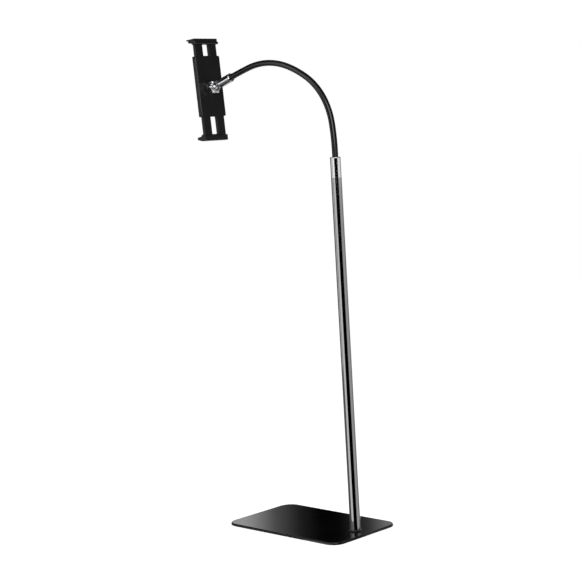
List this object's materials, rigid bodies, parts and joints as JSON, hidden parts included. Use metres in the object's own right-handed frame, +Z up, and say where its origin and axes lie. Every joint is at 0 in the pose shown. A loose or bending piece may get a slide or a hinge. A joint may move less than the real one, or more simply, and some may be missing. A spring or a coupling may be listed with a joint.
{
  "type": "adjustable phone stand",
  "caption": "Free-standing phone and tablet stand: weighted floor plate, straight pole, bendable neck and a swivelling clamp with sliding jaws.",
  "frame": {"origin": "centre of the base plate on the floor, at the underside of the foam pad", "axes": "+Z up along the pole; +Y from the middle of the plate towards the pole; the held screen faces -Y; X across the plate"},
  "size_m": [0.196, 0.4205, 1.0429],
  "materials": {
    "base_coat": "gloss black powder coat",
    "foam": "matte black foam rubber",
    "zinc_steel": "zinc plated",
    "spring_steel": "rolled",
    "ring_plastic": "black, moulded",
    "pole_plate": "dark nickel plate, polished",
    "bright_chrome": "polished",
    "neck_sleeve": "satin black sleeve",
    "neck_steel": "drawn",
    "clamp_plastic": "fine moulded grain, black",
    "grip_rubber": "matte black"
  },
  "bodies": {
    "stand": {"base_plate": "base_coat", "base_pad": "foam", "base_bolt": "zinc_steel", "foot_ring": "ring_plastic", "foot_insert": "zinc_steel", "pole": "pole_plate", "top_insert": "zinc_steel", "neck_collar": "bright_chrome", "neck_stud": "zinc_steel", "neck_jacket_1": "neck_sleeve", "neck_core_1": "neck_steel"},
    "neck_2": {"neck_jacket_2": "neck_sleeve", "neck_core_2": "neck_steel"},
    "neck_3": {"neck_jacket_3": "neck_sleeve", "neck_core_3": "neck_steel"},
    "neck_4": {"neck_jacket_4": "neck_sleeve", "neck_core_4": "neck_steel"},
    "neck_5": {"neck_jacket_5": "neck_sleeve", "neck_core_5": "neck_steel"},
    "neck_6": {"neck_jacket_6": "neck_sleeve", "neck_core_6": "neck_steel"},
    "neck_7": {"neck_jacket_7": "neck_sleeve", "neck_core_7": "neck_steel", "head_ferrule": "bright_chrome"},
    "ball_stud": {"ball_stud": "bright_chrome"},
    "clamp_nut": {"clamp_nut": "bright_chrome"},
    "clamp": {"back_shell": "clamp_plastic", "front_shell": "clamp_plastic", "front_pad": "grip_rubber", "housing_screws": "zinc_steel", "upper_rail_springs": "spring_steel", "lower_rail_springs": "spring_steel"},
    "upper_jaw": {"upper_jaw": "clamp_plastic", "upper_jaw_liner": "grip_rubber"},
    "lower_jaw": {"lower_jaw": "clamp_plastic", "lower_jaw_liner": "grip_rubber"}
  },
  "joints": [
    {"name": "neck_bend_1", "type": "hinge", "parent": "stand", "child": "neck_2", "pos_m": [0, 0.1219, 0.84381], "axis": [1, 0, 0], "range_deg": [-15, 8]},
    {"name": "neck_bend_2", "type": "hinge", "parent": "neck_2", "child": "neck_3", "pos_m": [0, 0.10133, 0.89839], "axis": [1, 0, 0], "range_deg": [-15, 8]},
    {"name": "neck_bend_3", "type": "hinge", "parent": "neck_3", "child": "neck_4", "pos_m": [0, 0.05991, 0.93952], "axis": [1, 0, 0], "range_deg": [-15, 8]},
    {"name": "neck_side_4", "type": "hinge", "parent": "neck_4", "child": "neck_5", "pos_m": [0, 0.00736, 0.96561], "axis": [0, 0.3404, 0.9403], "range_deg": [-20, 20]},
    {"name": "neck_bend_5", "type": "hinge", "parent": "neck_5", "child": "neck_6", "pos_m": [0, -0.0501, 0.97699], "axis": [1, 0, 0], "range_deg": [-15, 8]},
    {"name": "neck_bend_6", "type": "hinge", "parent": "neck_6", "child": "neck_7", "pos_m": [0, -0.10831, 0.97051], "axis": [1, 0, 0], "range_deg": [-15, 8]},
    {"name": "ball_swivel", "type": "hinge", "parent": "neck_7", "child": "ball_stud", "pos_m": [0, -0.21553, 0.93749], "axis": [0, -0.9521, -0.3057], "continuous": true},
    {"name": "clamp_tilt", "type": "hinge", "parent": "ball_stud", "child": "clamp_nut", "pos_m": [0, -0.21553, 0.93749], "axis": [1, 0, 0], "range_deg": [-14.7, 41.3]},
    {"name": "clamp_spin", "type": "hinge", "parent": "clamp_nut", "child": "clamp", "pos_m": [0, -0.21553, 0.93749], "axis": [0, 0.9969, 0.0785], "continuous": true},
    {"name": "upper_jaw_slide", "type": "slide", "parent": "clamp", "child": "upper_jaw", "axis": [0, -0.0785, 0.9969], "range_m": [-0.022, 0.021]},
    {"name": "lower_jaw_slide", "type": "slide", "parent": "clamp", "child": "lower_jaw", "axis": [0, 0.0785, -0.9969], "range_m": [-0.0366, 0.0064]}
  ]
}
